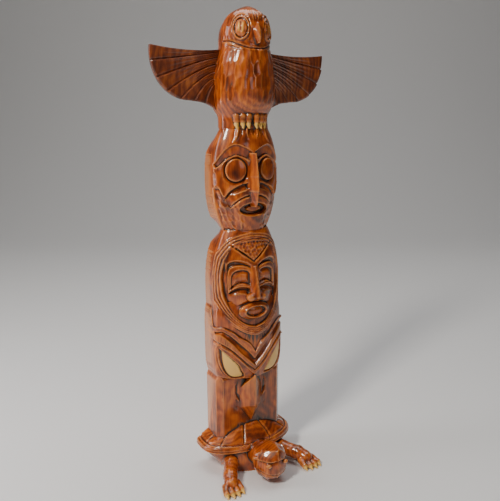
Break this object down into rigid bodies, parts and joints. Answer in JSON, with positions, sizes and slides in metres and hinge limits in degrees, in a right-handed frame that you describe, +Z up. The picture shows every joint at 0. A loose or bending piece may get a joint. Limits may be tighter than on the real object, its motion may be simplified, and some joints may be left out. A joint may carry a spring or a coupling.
{
  "type": "carved totem pole",
  "caption": "Varnished carved wooden totem pole: an owl with spread wings over two masks, a banded chest, a plain trunk and a turtle base.",
  "frame": {"origin": "on the flat underside, midway across, in the plane of the wooden block's front arrises", "axes": "+Z up, the carved front faces -Y, +X to a viewer's right"},
  "size_m": [0.2442, 0.1125, 0.61],
  "materials": {
    "varnished_wood": "gloss varnish over stained carved wood",
    "wing_wood": "gloss varnish over dark red-brown wood"
  },
  "bodies": {
    "root": {"pole": "varnished_wood", "wing_left": "wing_wood", "wing_right": "wing_wood"}
  },
  "joints": []
}
